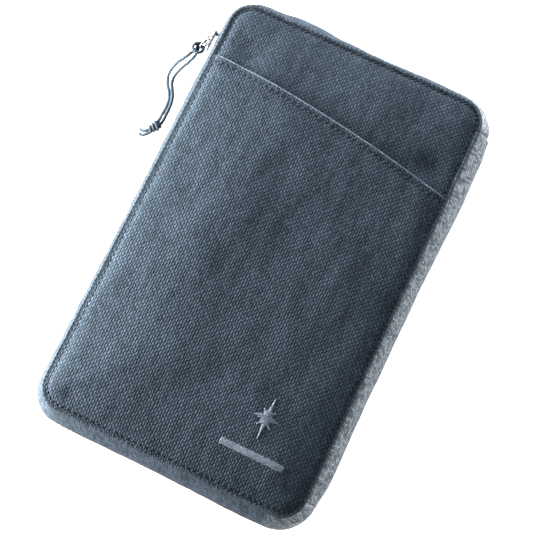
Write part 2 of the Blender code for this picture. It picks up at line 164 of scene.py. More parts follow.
class Finish:
    """A node material, built up by short calls."""

    def __init__(self, name, roughness, metallic=0.0, gloss=0.5):
        self.material = bpy.data.materials.new(name)
        self.material.use_nodes = True
        self.tree = self.material.node_tree
        self.shader = self.tree.nodes["Principled BSDF"]
        self.shader.inputs["Roughness"].default_value = roughness
        self.shader.inputs["Metallic"].default_value = metallic
        self.shader.inputs["Specular IOR Level"].default_value = gloss

    def feed(self, socket, value):
        if isinstance(value, (int, float, tuple)):
            socket.default_value = value
        else:
            self.tree.links.new(value, socket)

    def node(self, kind, **inputs):
        """A new node with its inputs fed. An underscore in an input's name stands for a space."""
        node = self.tree.nodes.new("ShaderNode" + kind)
        for name, value in inputs.items():
            self.feed(node.inputs[name.replace("_", " ")], value)
        return node

    def math(self, operation, first, second=0.0, clamp=False):
        node = self.node("Math")
        node.operation = operation
        node.use_clamp = clamp
        self.feed(node.inputs[0], first)
        self.feed(node.inputs[1], second)
        return node.outputs[0]

    def times(self, first, second):
        return self.math("MULTIPLY", first, second)

    def place(self, on_uv=False, turn=0.0):
        """The pattern's coordinates in millimetres, from the object or its own UV map."""
        source = self.node("TexCoord").outputs["UV" if on_uv else "Object"]
        scale = (1 / MM, 1 / MM, 1 / MM)
        return self.node("Mapping", Vector=source, Scale=scale, Rotation=(0.0, 0.0, turn)).outputs[0]

    def noise(self, place, scale, detail=3.0, stretch=(1.0, 1.0, 1.0)):
        stretched = self.node("Mapping", Vector=place, Scale=stretch).outputs[0]
        return self.node("TexNoise", Vector=stretched, Scale=scale, Detail=detail).outputs["Fac"]

    def split(self, place):
        return self.node("SeparateXYZ", Vector=place).outputs

    def mix(self, share, first, second):
        node = self.node("Mix")
        node.data_type = "RGBA"
        self.feed(node.inputs["Factor"], share)
        for socket, colour in ((node.inputs[6], first), (node.inputs[7], second)):
            self.feed(socket, (*colour, 1) if isinstance(colour, tuple) else colour)
        return node.outputs[2]

    def range(self, value, low, high, new_low=0.0, new_high=1.0):
        ends = {"From_Min": low, "From_Max": high, "To_Min": new_low, "To_Max": new_high}
        return self.node("MapRange", Value=value, **ends).outputs[0]

    def colour(self, value):
        self.feed(self.shader.inputs["Base Color"], value)

    def roughness(self, value):
        self.feed(self.shader.inputs["Roughness"], value)

    def bump(self, height, depth_mm):
        node = self.node("Bump", Distance=depth_mm * MM, Height=height)
        self.feed(self.shader.inputs["Normal"], node.outputs[0])

    def weave(self, place, column, period, wander):
        """Floats of yarn in columns, each column half a period off the next.

        Gives the weave's height and a random number for each float.
        """
        drift = self.noise(place, 0.35, 2.0)
        x, y, _ = self.split(place)
        shift = self.times(self.math("SUBTRACT", drift, 0.5), wander)
        across = self.math("DIVIDE", self.math("ADD", x, shift), column)
        along = self.math("DIVIDE", self.math("ADD", y, shift), period)
        number = self.math("FLOOR", across)
        stagger = self.times(self.math("FLOORED_MODULO", number, 2.0), 0.5)
        along = self.math("ADD", along, stagger)
        row = self.math("FLOOR", along)
        side = self.math("SUBTRACT", self.math("FRACT", across), 0.5)
        round_side = self.math("COSINE", self.times(side, 0.92 * pi))
        end = self.math("ABSOLUTE", self.math("SUBTRACT", self.math("FRACT", along), 0.5))
        falloff = self.math("POWER", self.times(end, 2.0), 3.0)
        round_end = self.math("SUBTRACT", 1.0, falloff)
        height = self.times(round_end, round_side)
        cell = self.node("CombineXYZ", X=number, Y=row).outputs[0]
        random = self.node("TexWhiteNoise", Vector=cell)
        random.noise_dimensions = "2D"
        return height, random.outputs["Value"]


def woven_finish(
    name, dark, light, column, period, depth_mm, on_uv=False, turn=0.0, fleck=0.35, slubs=0.12
):
    """Cloth whose yarn floats differ a little in shade, with dark gaps between them."""
    finish = Finish(name, 0.9, gloss=0.06)
    place = finish.place(on_uv, turn)
    height, random = finish.weave(place, column, period, column * 0.9)
    fibre = finish.noise(place, 3.2 / column, 4.0, (1.0, 0.35, 1.0))
    slub = finish.noise(place, 0.16, 3.0, (1.0, 0.25, 1.0))
    shade = finish.range(height, 0.0, 0.9, 0.14, 1.0)
    tint = finish.times(finish.math("SUBTRACT", random, 0.5), fleck)
    tint = finish.math("ADD", tint, finish.range(fibre, 0.3, 0.7, -0.04 - slubs, 0.04 + slubs))
    tint = finish.math("ADD", tint, finish.range(slub, 0.3, 0.7, -slubs, slubs))
    share = finish.math("MULTIPLY", shade, finish.math("ADD", 0.62, tint), clamp=True)
    finish.colour(finish.mix(share, dark, light))
    relief = finish.math("ADD", height, finish.times(fibre, 0.35))
    finish.bump(relief, depth_mm)
    finish.roughness(finish.range(random, 0.0, 1.0, 0.82, 0.95))
    return finish.material


def side_finish(name, dark, light, spine_light, length):
    """The side cloth: the spine's light melange at both ends, painted darker along the zip as
    painted shade.

    It is darkest down the left side, where more painted shade is laid on.
    """
    finish = Finish(name, 0.9, gloss=0.06)
    place = finish.place(True, 0.6)
    height, random = finish.weave(place, 0.85, 1.45, 0.7)
    straight = finish.place(True)
    ahead, _, _ = finish.split(straight)
    # Near the spine the light yarn is the melange's own; elsewhere a darker copy of it is used, as
    # painted shade.
    first = finish.range(ahead, 12.0, 26.0, 1.0, 0.0)
    last = finish.range(ahead, length - 24.0, length - 12.0)
    near_spine = finish.math("MAXIMUM", first, last)
    # Painted shade down the left side: the colour there is darkened to 0.35 of its tone.
    left_shade_start = finish.range(ahead, 150.0, 165.0)
    left_shade_end = finish.range(ahead, 348.0, 372.0, 1.0, 0.0)
    left = finish.times(left_shade_start, left_shade_end)
    cloud = finish.noise(place, 0.3, 4.0)
    fleck = finish.times(finish.math("SUBTRACT", random, 0.5), 0.5)
    share = finish.math("ADD", finish.range(height, 0.0, 0.9, 0.2, 0.75), fleck)
    share = finish.math("ADD", share, finish.range(cloud, 0.3, 0.7, -0.06, 0.06), clamp=True)
    share = finish.times(share, finish.range(left, 0.0, 1.0, 1.0, 0.35))
    finish.colour(finish.mix(share, dark, finish.mix(near_spine, light, spine_light)))
    finish.bump(height, 0.07)
    finish.roughness(finish.range(random, 0.0, 1.0, 0.84, 0.95))
    return finish.material


def coil_finish(name, dark, light):
    finish = Finish(name, 0.42)
    place = finish.place()
    grain = finish.noise(place, 1.4, 4.0)
    finish.colour(finish.mix(grain, dark, light))
    finish.roughness(finish.range(grain, 0.3, 0.7, 0.34, 0.52))
    finish.bump(finish.noise(place, 5.0, 2.0), 0.03)
    return finish.material


def metal_finish(name, dark, light):
    """Plated casting with a faint uneven polish and small scuffs."""
    finish = Finish(name, 0.28, metallic=1.0)
    place = finish.place()
    cloud = finish.noise(place, 0.7, 4.0)
    scuff = finish.noise(place, 6.0, 5.0, (1.0, 0.12, 1.0))
    finish.colour(finish.mix(cloud, dark, light))
    finish.roughness(finish.range(scuff, 0.35, 0.7, 0.26, 0.46))
    finish.bump(scuff, 0.015)
    return finish.material


def thread_finish(name, dark, light):
    """Glossy embroidery yarn: fine plies run slantwise along each stitch."""
    finish = Finish(name, 0.5, gloss=0.15)
    place = finish.place()
    ply = finish.noise(place, 1.7, 4.0, (0.5, 1.0, 1.0))
    cloud = finish.noise(place, 0.25, 2.0)
    share = finish.range(ply, 0.34, 0.66, 0.1, 0.8)
    share = finish.math("ADD", share, finish.range(cloud, 0.3, 0.7, -0.15, 0.15), clamp=True)
    finish.colour(finish.mix(share, dark, light))
    finish.roughness(finish.range(ply, 0.3, 0.7, 0.5, 0.7))
    finish.bump(ply, 0.05)
    return finish.material


def foam_finish(name):
    finish = Finish(name, 0.95)
    place = finish.place()
    cell = finish.noise(place, 1.6, 5.0)
    finish.colour(finish.mix(cell, (0.24, 0.25, 0.26), (0.42, 0.43, 0.44)))
    finish.bump(cell, 0.1)
    return finish.material


def netting_finish(name):
    """Open netting: dark holes between round yarns."""
    finish = Finish(name, 0.8, gloss=0.2)
    height, random = finish.weave(finish.place(), 1.1, 1.9, 0.2)
    finish.colour(finish.mix(height, (0.008, 0.01, 0.013), (0.14, 0.16, 0.19)))
    finish.bump(height, 0.25)
    finish.roughness(finish.range(random, 0.0, 1.0, 0.7, 0.85))
    return finish.material


# ---- shape helpers


def arc(centre, radius, start, end, steps):
    points = []
    for step in range(steps + 1):
        angle = start + (end - start) * step / steps
        points.append((centre[0] + radius * cos(angle), centre[1] + radius * sin(angle)))
    return points


def rim_frames(spacing, closed=True):
    """Places along the rim with their outward directions, anticlockwise from the spine's top end.

    Each is (x, y, outward x, outward y, distance along the rim). An open run leaves out the spine.
    """
    corner_x = HALF_WIDTH - CORNER_RADIUS
    corner_y = HALF_HEIGHT - CORNER_RADIUS
    frames = []
    corners = (
        (corner_x, corner_y), (-corner_x, corner_y), (-corner_x, -corner_y), (corner_x, -corner_y)
    )
    runs = (2 * corner_x, 2 * corner_y, 2 * corner_x, 2 * corner_y)
    travelled = 0.0
    for number, (centre, run) in enumerate(zip(corners, runs)):
        start = number * pi / 2
        bend = CORNER_RADIUS * pi / 2
        steps = ceil(bend / spacing)
        for step in range(steps):
            angle = start + pi / 2 * step / steps
            ahead = travelled + bend * step / steps
            x = centre[0] + CORNER_RADIUS * cos(angle)
            y = centre[1] + CORNER_RADIUS * sin(angle)
            frames.append((x, y, cos(angle), sin(angle), ahead))
        travelled += bend
        if number == 3 and not closed:
            frames.append((HALF_WIDTH, -corner_y, 1.0, 0.0, travelled))
            break
        angle = start + pi / 2
        x = centre[0] + CORNER_RADIUS * cos(angle)
        y = centre[1] + CORNER_RADIUS * sin(angle)
        steps = ceil(run / spacing)
        for step in range(steps):
            ahead = run * step / steps
            along_x = x - sin(angle) * ahead
            along_y = y + cos(angle) * ahead
            frames.append((along_x, along_y, cos(angle), sin(angle), travelled + ahead))
        travelled += run
    return frames


def inset_of(x, y):
    """How far a place lies inside the rim's outer line."""
    over_x = abs(x) - (HALF_WIDTH - CORNER_RADIUS)
    over_y = abs(y) - (HALF_HEIGHT - CORNER_RADIUS)
    outside = hypot(max(over_x, 0.0), max(over_y, 0.0))
    return CORNER_RADIUS - outside - min(max(over_x, over_y), 0.0)


# Soft hollows pressed into the padded face: place, reach and depth.
DENTS = (
    (-52.0, 90.0, 9.0, 2.4), (55.0, 72.0, 8.0, 2.6), (-54.0, -106.0, 5.0, 0.7),
    (62.0, -103.0, 8.0, 0.8), (22.0, 98.0, 22.0, -1.4), (-30.0, 20.0, 28.0, -0.7),
)


def mouth_height(x):
    return MOUTH_MIDDLE_Y + MOUTH_BOW * (1 - (x / HALF_WIDTH) ** 2) + MOUTH_SLOPE * x


def waver(*place):
    """A smooth random height, from -1 to 1, at a place."""
    return noise.noise(Vector(place))


def hump(value, middle, reach):
    """A smooth hump of height 1 round its middle."""
    return exp(-(((value - middle) / reach) ** 2))


def swell(x, y):
    """Height of the padded face over its groove, with the soft unevenness of a filled wallet."""
    inset = inset_of(x, y)
    inside = max(inset - GROOVE_INSET, 0.0)
    border = 0.4 * max(GROOVE_INSET - inset, 0.0)
    edge = 1.5 * (1 - exp(-inside / EDGE_ROUND))
    body = 3.7 * (1 - exp(-inside / BODY_ROUND))
    ridge = 2.1 * exp(-((x + 26) / 24.0) ** 2 - (y / 98.0) ** 4)
    calm = 1 - exp(-inside / 6.0)
    broad = 0.9 * waver(x / 46.0, y / 60.0, 2.7)
    for place_x, place_y, reach, depth in DENTS:
        broad -= depth * exp(-((x - place_x) ** 2 + (y - place_y) ** 2) / reach**2)
    small = 0.26 * waver(x / 15.0, y / 21.0, 7.1)
    pull = 0.22 * waver(x / 7.0, y / 7.0, 4.4) * exp(-inside / 7.0)
    return border + edge + body + calm * (broad + small + ridge) + pull


def band_faces(base, rings, sides):
    """The faces of a tube of rings of points that starts at the point numbered base."""
    faces = []
    for ring in range(rings - 1):
        start = base + ring * sides
        for number in range(sides):
            following = (number + 1) % sides
            end = start + sides
            faces.append((start + number, start + following, end + following, end + number))
    last = base + (rings - 1) * sides
    faces.append(tuple(base + number for number in reversed(range(sides))))
    faces.append(tuple(last + number for number in range(sides)))
    return faces


def turn_outward(thing):
    shape = bmesh.new()
    shape.from_mesh(thing.data)
    bmesh.ops.recalc_face_normals(shape, faces=shape.faces)
    shape.to_mesh(thing.data)
    shape.free()


def add_mesh(name, points, faces, uvs=None):
    """A mesh of points in millimetres. The uvs, one a point, are in millimetres too."""
    mesh = bpy.data.meshes.new(name)
    mesh.from_pydata([Vector(point) * MM for point in points], [], faces)
    if uvs:
        layer = mesh.uv_layers.new(name="cloth")
        for loop in mesh.loops:
            u, v = uvs[loop.vertex_index]
            layer.data[loop.index].uv = (u * MM, v * MM)
    mesh.validate()
    thing = bpy.data.objects.new(name, mesh)
    scene.collection.objects.link(thing)
    return thing


def cloth_grid(name, rows, flip=False, uvs=None):
    """A cloth surface through rows of points."""
    count = len(rows[0])
    points = [point for row in rows for point in row]
    if uvs is not None:
        uvs = [uv for row in uvs for uv in row]
    faces = []
    for row in range(len(rows) - 1):
        for index in range(count - 1):
            start = row * count + index
            face = [start, start + 1, start + count + 1, start + count]
            faces.append(face[::-1] if flip else face)
    return add_mesh(name, points, faces, uvs)


def select_only(thing):
    bpy.ops.object.select_all(action="DESELECT")
    thing.select_set(True)
    bpy.context.view_layer.objects.active = thing


def apply_modifiers(thing):
    select_only(thing)
    for modifier in list(thing.modifiers):
        bpy.ops.object.modifier_apply(modifier=modifier.name)
    thing.select_set(False)


def give_wall(thing, wall):
    """Thickness on the inner side of a cloth surface."""
    solidify = thing.modifiers.new("wall", "SOLIDIFY")
    solidify.thickness = wall * MM
    solidify.offset = -1.0
    apply_modifiers(thing)


def smooth(thing, angle=None):
    select_only(thing)
    if angle is None:
        bpy.ops.object.shade_smooth()
    else:
        bpy.ops.object.shade_smooth_by_angle(angle=radians(angle))
    thing.select_set(False)


def settle(thing, body, finish, replaced=(), angle=None):
    """Gives a piece its finish and the body that it moves with."""
    thing.data.materials.clear()
    thing.data.materials.append(finish)
    smooth(thing, angle)
    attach(thing, body)
    if replaced:
        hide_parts(*replaced)
    return thing


def tube_mesh(name, path, radii, sides, closed=False):
    """A round tube along a path, with UVs. radii is one number or one a point."""
    path = [Vector(point) for point in path]
    count = len(path)
    if isinstance(radii, (int, float)):
        radii = [radii] * count
    tangents = []
    for index in range(count):
        if closed:
            step = path[(index + 1) % count] - path[index - 1]
        else:
            step = path[min(index + 1, count - 1)] - path[max(index - 1, 0)]
        tangents.append(step.normalized())
    normal = tangents[0].orthogonal().normalized()
    points = []
    uvs = []
    travelled = 0.0
    for index in range(count):
        if index:
            travelled += (path[index] - path[index - 1]).length
            normal = (normal - tangents[index] * normal.dot(tangents[index])).normalized()
        side = tangents[index].cross(normal)
        for number in range(sides):
            angle = 2 * pi * number / sides
            points.append(path[index] + (normal * cos(angle) + side * sin(angle)) * radii[index])
            uvs.append((travelled, radii[index] * angle))
    faces = band_faces(0, count, sides)
    if closed:
        last = (count - 1) * sides
        faces = faces[:-2]
        for number in range(sides):
            following = (number + 1) % sides
            faces.append((last + number, last + following, following, number))
    return add_mesh(name, points, faces, uvs)


def smooth_route(route, steps, lowest=None):
    """Points on one smooth curve through the route's own points, none under the lowest height."""
    places = [Vector(point) for point in route]
    places = [2 * places[0] - places[1]] + places + [2 * places[-1] - places[-2]]
    points = []
    for index in range(1, len(places) - 2):
        before, start, end, after = places[index - 1 : index + 3]
        for step in range(steps):
            t = step / steps
            point = (
                2 * start
                + (end - before) * t
                + (2 * before - 5 * start + 4 * end - after) * t**2
                + (3 * start - before - 3 * end + after) * t**3
            ) / 2
            if lowest is not None:
                point.z = max(point.z, lowest)
            points.append(point)
    points.append(places[-2])
    return points


# ---- zip pull: ring, cord and knot

CORD_RADIUS = 0.9
CORD_LOW = 0.95
KNOT_CENTRE = Vector((-83.6, 39.2, 2.95))
KNOT_DIRECTION = Vector((0.55, 0.83, 0.0)).normalized()
KNOT_RADIUS = 2.9
RING_LENGTH = 7.0
RING_HALF_WIDTH = 2.9
RING_WIRE = 0.6
RING_ANGLE = radians(-113.0)
RING_PIVOT = Vector((-76.35, 91.5, MIDDLE))
RING_ALONG = Vector((cos(RING_ANGLE), sin(RING_ANGLE), 0.0))
RING_ASIDE = Vector((sin(RING_ANGLE), -cos(RING_ANGLE), 0.0))

STRAND_ROUTES = {
    "cord_outer": (
        (-82.0, 81.0, 12.8), (-83.9, 77.8, 11.5), (-86.9, 74.5, 8.4), (-89.2, 70.6, 4.0),
        (-89.4, 66.9, 1.3), (-87.8, 63.4, CORD_LOW), (-85.3, 60.0, CORD_LOW),
        (-83.6, 56.2, CORD_LOW), (-83.0, 51.8, CORD_LOW), (-83.1, 47.6, CORD_LOW + 0.2),
        (-82.9, 44.4, CORD_LOW + 1.0), (-83.9, 40.0, 2.4), (-85.4, 36.9, 2.4),
        (-87.1, 35.5, 1.9), (-88.4, 35.2, 1.4), (-90.0, 35.3, CORD_LOW),
    ),
    "cord_inner": (
        (-79.5, 80.1, 12.4), (-81.4, 76.3, 10.4), (-84.1, 72.6, 7.2), (-86.0, 68.9, 3.9),
        (-86.1, 65.2, 2.5), (-84.2, 61.6, 2.4), (-82.2, 57.8, 2.4), (-81.2, 53.2, 2.4),
        (-81.0, 48.4, 2.4), (-80.8, 43.6, 2.9), (-82.4, 39.6, 2.9), (-84.6, 35.6, 2.0),
        (-86.6, 33.4, 1.4), (-87.8, 33.0, 1.1), (-89.2, 33.1, CORD_LOW),
    ),
}


def make_hitch(finish):
    """The cord's loop hitched round the ring's far bar, its bight drawn over its own strands."""
    bar = RING_PIVOT + RING_ALONG * RING_LENGTH
    stops = (
        (4.9, 1.0, -0.2), (3.0, 0.85, -0.2), (1.6, 0.9, 0.1), (0.3, 1.3, 0.9), (-1.2, 0.9, 1.0),
        (-1.5, 1.6, 1.5), (0.2, 2.7, 1.7), (2.2, 2.5, 1.9), (3.4, 1.1, 2.1), (3.6, -0.6, 2.1),
        (2.6, -2.2, 1.9), (0.8, -2.7, 1.5), (-1.0, -2.0, 0.9), (-1.5, -0.9, 0.1),
        (-1.3, 0.4, -0.8), (0.0, 1.0, -1.2), (1.4, 0.1, -1.0), (2.9, -0.9, -0.5),
        (4.7, -1.5, -0.6),
    )
    route = []
    for ahead, aside, up in stops:
        route.append(bar + RING_ALONG * ahead + RING_ASIDE * aside + Vector((0, 0, up)))
    hitch = tube_mesh("cord_hitch", smooth_route(route, 5), CORD_RADIUS * 0.95, 12)
    return settle(hitch, "pull", finish, ("puller_hitch",))


def make_knot(finish):
    """A barrel knot: the cord wound round its own strands, slimmer towards the tails."""
    forward = KNOT_DIRECTION
    across = forward.orthogonal().normalized()
    other = forward.cross(across)
    turns = 3.6
    steps = 108
    path = []
    for step in range(steps + 1):
        part = step / steps
        angle = 2 * pi * turns * part
        tuck = min(1.0, 0.35 + 6 * part, 0.35 + 6 * (1 - part))
        radius = (KNOT_RADIUS - CORD_RADIUS + 0.4 - 1.3 * part) * tuck
        offset = across * cos(angle) + other * sin(angle)
        sag = Vector((0.0, 0.0, -0.7 * part))
        place = KNOT_CENTRE + forward * (3.1 - 6.6 * part) + offset * radius + sag
        place.z = max(place.z, CORD_LOW)
        path.append(place)
    knot = tube_mesh("cord_knot", path, CORD_RADIUS * 0.97, 12)
    return settle(knot, "pull", finish, ("puller_knot",))


def make_cords(finish):
    hitch = make_hitch(finish)
    knot = make_knot(finish)
    replaced = {
        "cord_outer": ("puller_cord_a", "puller_tail_a"),
        "cord_inner": ("puller_cord_b", "puller_tail_b"),
    }
    for name, route in STRAND_ROUTES.items():
        path = smooth_route(route, 6, CORD_LOW)
        strand = tube_mesh(name, path, CORD_RADIUS, 12)
        settle(strand, "pull", finish, replaced[name])


def pick(thing, kind, test):
    """Enters edit mode and selects the parts of a kind whose middle passes the test."""
    select_only(thing)
    bpy.ops.object.mode_set(mode="EDIT")
    bpy.ops.mesh.select_mode(type=kind)
    bpy.ops.mesh.select_all(action="DESELECT")
    shape = bmesh.from_edit_mesh(thing.data)
    for part in {"VERT": shape.verts, "EDGE": shape.edges, "FACE": shape.faces}[kind]:
        corners = [part.co] if kind == "VERT" else [vert.co for vert in part.verts]
        part.select_set(test(sum(corners, Vector()) / len(corners) / MM))
    shape.select_flush_mode()
    bmesh.update_edit_mesh(thing.data)


def leave():
    bpy.ops.object.mode_set(mode="OBJECT")


def shape_plate(name, length, width, wall, height, scale):
    """A slider plate, narrower at its tail, with rounded corners, an inset loop on its face towards
    the coils and softened edges.
    """
    bpy.ops.mesh.primitive_cube_add(size=1.0)
    plate = bpy.context.object
    plate.name = name
    plate.scale = (length * MM, width * MM, wall * MM)
    plate.location = (0.0, 0.0, height * MM)
    bpy.ops.object.transform_apply(location=True, rotation=True, scale=True)
    pick(plate, "VERT", lambda at: at.x < 0)
    bpy.ops.transform.resize(value=(1.0, 0.78, 1.0), center_override=(0.0, 0.0, height * MM))
    leave()
    end = length / 2
    pick(plate, "EDGE", lambda at: abs(at.z - height) < 0.01 and abs(abs(at.x) - end) < 0.01)
    bpy.ops.mesh.bevel(offset=1.9 * scale * MM, segments=5, affect="EDGES")
    leave()
    towards = -1 if height > 0 else 1
    pick(plate, "FACE", lambda at: (at.z - height) * towards > wall * 0.4)
    bpy.ops.mesh.inset(thickness=0.7 * scale * MM, depth=0.0)
    leave()
    edge = plate.modifiers.new("edge", "BEVEL")
    edge.width = 0.28 * scale * MM
    edge.segments = 3
    apply_modifiers(plate)
    return plate


def make_slider(name, node, body, scale, bridge_span, coil_wall, matrix, finish):
    """Both plates, the post and the arched bridge of one slider, joined as one casting."""
    length = 12.0 * scale
    width = 8.5 * scale
    wall = 1.0 * scale
    inner = coil_wall / 2 + 0.5
    middle = inner + wall / 2
    top = inner + wall + 1.9 + 0.9
    pieces = [
        shape_plate(name + "_upper", length, width, wall, middle, scale),
        shape_plate(name + "_lower", length, width, wall, -middle, scale),
    ]
    bpy.ops.mesh.primitive_cylinder_add(vertices=24, radius=1.0 * scale * MM, depth=2 * middle * MM)
    post = bpy.context.object
    post.scale = (1.0, 0.16 / scale, 1.0)
    post.location = ((length / 2 - 1.3 * scale) * MM, 0.0, 0.0)
    bpy.ops.object.transform_apply(location=True, rotation=True, scale=True)
    pieces.append(post)

    reach = bridge_span / 2 - 0.45
    foot = inner + wall * 0.5
    profile = [(-reach, foot), (-reach, top - 1.3)]
    profile += arc((-reach + 0.95, top - 1.4), 0.95, pi, pi / 2, 5)
    profile += arc((reach - 0.95, top - 1.4), 0.95, pi / 2, 0.0, 5)
    profile += [(reach, top - 1.3), (reach, foot)]
    bridge = tube_mesh(name + "_bridge", [(x, 0.0, z) for x, z in profile], 0.45, 16)
    for vert in bridge.data.vertices:
        vert.co.y *= 2.3
    pieces.append(bridge)

    bpy.ops.object.select_all(action="DESELECT")
    for piece in pieces:
        piece.select_set(True)
    bpy.context.view_layer.objects.active = pieces[0]
    bpy.ops.object.join()
    casting = bpy.context.object
    casting.name = name
    casting.data.transform(matrix)
    return settle(casting, body, finish, (node,), 35)


def make_ring(name, node, body, pivot, along, across, length, half, finish):
    """A wire ring stretched to its length, its near end in the bridge."""
    bpy.ops.mesh.primitive_torus_add(
        major_segments=48,
        minor_segments=14,
        major_radius=half * MM,
        minor_radius=RING_WIRE * MM,
    )
    ring = bpy.context.object
    ring.name = name
    pick(ring, "VERT", lambda at: at.x > 0.01)
    bpy.ops.transform.translate(value=((length - 2 * half) * MM, 0.0, 0.0))
    leave()
    normal = along.cross(across)
    middle = pivot + along * half
    turn = Matrix((along, across, normal)).transposed().to_4x4()
    ring.data.transform(Matrix.Translation(middle * MM) @ turn)
    return settle(ring, body, finish, (node,))


# ---- padded faces


def spaced(half, fine_width, fine, coarse):
    """Distances from -half to half, closer together near both ends."""
    steps = int(fine_width / fine)
    edge = [-half + fine * step for step in range(steps)]
    inner = half - fine_width
    count = ceil(2 * inner / coarse)
    middle = [-inner + 2 * inner * step / count for step in range(count + 1)]
    return edge + middle + [-value for value in reversed(edge)]


def rounded(x, y, half_x, half_y, radius):
    """Moves a place near a corner of the rectangle into the corner's quarter circle."""
    over_x = (abs(x) - half_x + radius) / radius
    over_y = (abs(y) - half_y + radius) / radius
    if over_x <= 0 or over_y <= 0:
        return x, y
    new_x = over_x * sqrt(1 - over_y**2 / 2)
    new_y = over_y * sqrt(1 - over_x**2 / 2)
    side_x = 1 if x > 0 else -1
    side_y = 1 if y > 0 else -1
    return side_x * (half_x - radius + radius * new_x), side_y * (half_y - radius + radius * new_y)


def rounded_rows(half, radius, spacing, ys, point):
    """Rows of points over a rectangle with rounded corners, point(x, y) giving each."""
    xs = spaced(half[0], *spacing)
    return [[point(*rounded(x, y, *half, radius)) for x in xs] for y in ys]


def face_height(x, y):
    """Height of a padded face's outer side, over the wallet's middle plane."""
    return MIDDLE - GROOVE_DEPTH + swell(x, y)


def padded_face(name, side, finish, body, replaced):
    """A whole face of the wallet. side is 1 for the front and -1 for the back."""

    def point(x, y):
        height = face_height(x, y)
        if side < 0:
            height = min(MIDDLE - 0.15, MIDDLE - 1.4 + 0.55 * swell(x * 0.97, y + 300))
        return x, y, MIDDLE + side * height

    ys = spaced(PANEL_HALF[1], *FACE_SPACING)
    rows = rounded_rows(PANEL_HALF, PANEL_RADIUS, FACE_SPACING, ys, point)
    panel = cloth_grid(name, rows, flip=side < 0)
    give_wall(panel, 0.9)
    settle(panel, body, finish, (replaced,))


def pocket_lift(x, y):
    """How far the slip pocket stands over the face: a doubled hem at its mouth, slack below it."""
    below = mouth_height(x) - y
    hem = 0.35 * hump(below, 0.6, 0.9) - 0.22 * hump(below, 3.0, 0.6)
    slack = 0.4 * hump(below, 12.0, 14.0) * (1 - (x / HALF_WIDTH) ** 2)
    edge = 1 - exp(-max(inset_of(x, y) - PANEL_INSET, 0.0) / 1.2)
    return (POCKET_LIFT + hem + slack) * (0.35 + 0.65 * edge)


def pocket_point(x, y):
    return x, y, MIDDLE + face_height(x, y) + pocket_lift(x, y)


def make_slip_pocket(finish):
    half_x, half_y = PANEL_HALF
    ys = [y for y in spaced(half_y, *FACE_SPACING) if y < 0]
    rows = rounded_rows(PANEL_HALF, PANEL_RADIUS, FACE_SPACING, ys, pocket_point)
    steps = 62
    for step in range(steps + 1):
        part = 1 - (1 - step / steps) ** 1.35
        xs = spaced(half_x, *FACE_SPACING)
        rows.append([pocket_point(x, mouth_height(x) * part) for x in xs])
    pocket = cloth_grid("slip_pocket_cloth", rows)
    give_wall(pocket, 0.8)
    settle(pocket, "cover", finish, ("slip_pocket",))


def make_hem_fold(finish):
    """The folded edge along the pocket's mouth, its cloth painted lighter than the pocket's as a
    painted highlight.
    """
    half = HALF_WIDTH - 2.2
    path = []
    for step in range(121):
        x = -half + 2 * half * step / 120
        x, y, height = pocket_point(x, mouth_height(x))
        sunk_end = 0.7 * exp(-(((x + half) / 2.5) ** 2))
        path.append((x, y + 0.05, height - 0.3 - sunk_end))
    fold = tube_mesh("slip_pocket_hem", path, 0.5, 10)
    settle(fold, "cover", finish)


def stitch_row(name, stations, finish, body, length, thick):
    """Short sewn stitches. Each station is a place, the row's direction and the way up."""
    points = []
    faces = []
    sides = 5
    rings = ((-0.5, 0.15), (-0.34, 0.85), (0.0, 1.0), (0.34, 0.85), (0.5, 0.15))
    for place, ahead, up in stations:
        aside = up.cross(ahead).normalized()
        base = len(points)
        for part, share in rings:
            sink = up * (-0.45 * thick * (2 * part) ** 2)
            for number in range(sides):
                angle = 2 * pi * number / sides
                spread = (aside * cos(angle) + up * sin(angle)) * thick * share
                points.append(place + ahead * length * part + spread + sink)
        faces += [face[::-1] for face in band_faces(base, len(rings), sides)]
    row = add_mesh(name, points, faces)
    return settle(row, body, finish)


def make_edge_stitches(side, body, finish):
    stations = []
    travelled = 0.0
    for x, y, out_x, out_y, ahead in rim_frames(0.4):
        if ahead < travelled:
            continue
        travelled += STITCH_PITCH
        across = x - out_x * (GROOVE_INSET + 0.15)
        up = y - out_y * (GROOVE_INSET + 0.15)
        height = face_height(across, up) + 0.3
        if side > 0 and up < mouth_height(across):
            height += pocket_lift(across, up)
        if side < 0:
            height = MIDDLE - 1.2
        place = Vector((across, up, MIDDLE + side * height))
        stations.append((place, Vector((-out_y, out_x, 0.0)), Vector((0.0, 0.0, side))))
    stitch_row(shell(side) + "_edge_stitches", stations, finish, body, 2.1, 0.42)


def make_mouth_stitches(finish):
    stations = []
    x = -HALF_WIDTH + 4.5
    while x < HALF_WIDTH - 4.5:
        y = mouth_height(x) - 3.0
        slope = mouth_height(x + 0.5) - mouth_height(x - 0.5)
        ahead = Vector((1.0, slope, 0.0)).normalized()
        place = Vector(pocket_point(x, y)) + Vector((0.0, 0.0, 0.22))
        stations.append((place, ahead, Vector((0.0, 0.0, 1.0))))
        x += STITCH_PITCH
    stitch_row("pocket_mouth_stitches", stations, finish, "cover", 2.2, 0.4)


def make_rim(side, body, finish, node):
    """The turned edge round a face, with the small waves that its seam draws in."""
    path = []
    radii = []
    for x, y, out_x, out_y, ahead in rim_frames(1.2):
        wave = waver(ahead / 9.0, side * 3.0, 0.5)
        inset = RIM_RADIUS + 0.05 + 0.12 * wave
        height = DEPTH - RIM_RADIUS - 0.02 + 0.1 * wave
        z = height if side > 0 else DEPTH - height
        path.append((x - out_x * inset, y - out_y * inset, max(z, 1.08 * RIM_RADIUS + 0.02)))
        radii.append(RIM_RADIUS * (1.0 + 0.08 * wave))
    rim = tube_mesh(shell(side) + "_rim", path, radii, 12, closed=True)
    settle(rim, body, finish, (node,))


# ---- sides, zip and spine


